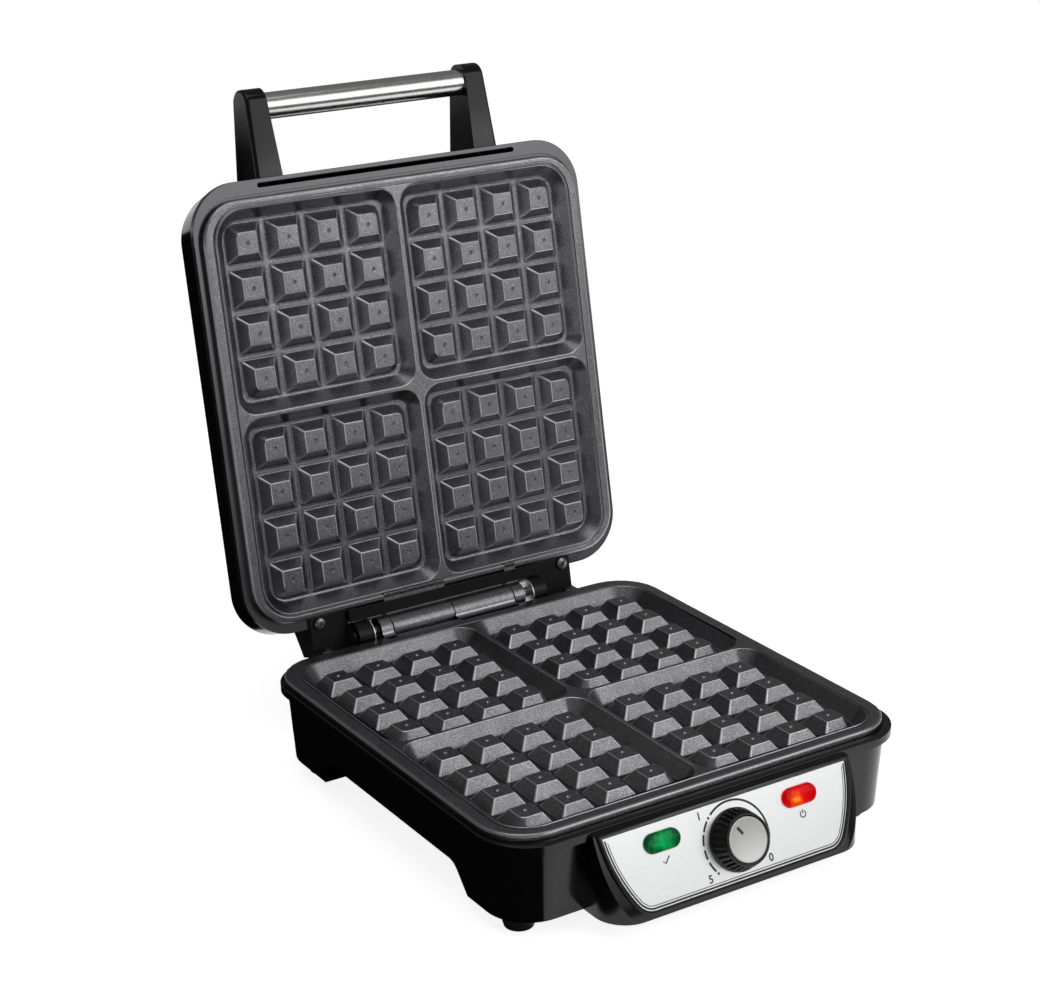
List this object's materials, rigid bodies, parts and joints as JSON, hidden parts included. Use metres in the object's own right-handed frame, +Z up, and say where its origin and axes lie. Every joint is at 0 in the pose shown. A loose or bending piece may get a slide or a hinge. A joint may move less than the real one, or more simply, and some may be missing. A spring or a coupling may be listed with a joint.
{
  "type": "electric waffle maker",
  "caption": "Table-top electric waffle maker, open, with a hinged lid, square grid plates, a tube handle and a control panel with thermostat knob and pilot lamps.",
  "frame": {"origin": "on the floor, under the middle of the open appliance", "axes": "+Z up, -Y towards the user and the control panel, X along the hinge"},
  "size_m": [0.2506, 0.3814, 0.3591],
  "materials": {
    "gloss_black": "high-gloss moulded phenolic",
    "flange_black": "glossy moulding",
    "non_stick": "satin speckled non-stick coating",
    "bracket_black": "black moulding",
    "cover_black": "satin moulding",
    "foot_rubber": "matt",
    "brushed_steel": "brushed",
    "knob_black": "satin",
    "knob_silver": "spun",
    "green_lens": "translucent",
    "red_lens": "translucent, lit",
    "lamp_glass": "clear",
    "sheet_steel": "mill",
    "heater_steel": "heat-tinted",
    "fastener_steel": "plated",
    "ceramic_white": "glazed"
  },
  "bodies": {
    "base": {"base_bottom_cover": "cover_black", "base_hinge_bracket_left": "bracket_black", "base_hinge_bracket_right": "bracket_black", "base_hinge_screws": "fastener_steel", "base_housing": "gloss_black", "bottom_cover_screws": "fastener_steel", "control_bezel": "gloss_black", "control_panel_plate": "brushed_steel", "cord_bush": "cover_black", "green_lamp_lens": "green_lens", "hinge_pin": "fastener_steel", "lamp_holders": "cover_black", "lower_heating_element": "heater_steel", "lower_reflector": "sheet_steel", "lower_reflector_screws": "fastener_steel", "lower_waffle_plate": "non_stick", "pilot_lamps": "lamp_glass", "pin_washers": "fastener_steel", "red_lamp_lens": "red_lens", "rubber_feet": "foot_rubber", "terminal_block": "ceramic_white", "thermostat_body": "sheet_steel"},
    "lid": {"handle_arm_left": "gloss_black", "handle_arm_right": "gloss_black", "handle_bar": "brushed_steel", "handle_screws": "fastener_steel", "lid_frame": "flange_black", "lid_hinge_bracket_left": "bracket_black", "lid_hinge_bracket_right": "bracket_black", "lid_hinge_screws": "fastener_steel", "lid_shell": "gloss_black", "thermal_fuse": "ceramic_white", "upper_heating_element": "heater_steel", "upper_reflector": "sheet_steel", "upper_reflector_screws": "fastener_steel", "upper_waffle_plate": "non_stick"},
    "knob": {"control_shaft": "fastener_steel", "knob_cap": "knob_silver", "thermostat_knob": "knob_black"}
  },
  "joints": [
    {"name": "lid_hinge", "type": "hinge", "parent": "base", "child": "lid", "pos_m": [0, 0.09805, 0.0579], "axis": [1, 0, 0], "range_deg": [0, 100.7]},
    {"name": "knob_turn", "type": "hinge", "parent": "base", "child": "knob", "pos_m": [0, -0.17529, 0.03132], "axis": [0, -0.9135, 0.4067], "range_deg": [-150, 120]}
  ]
}
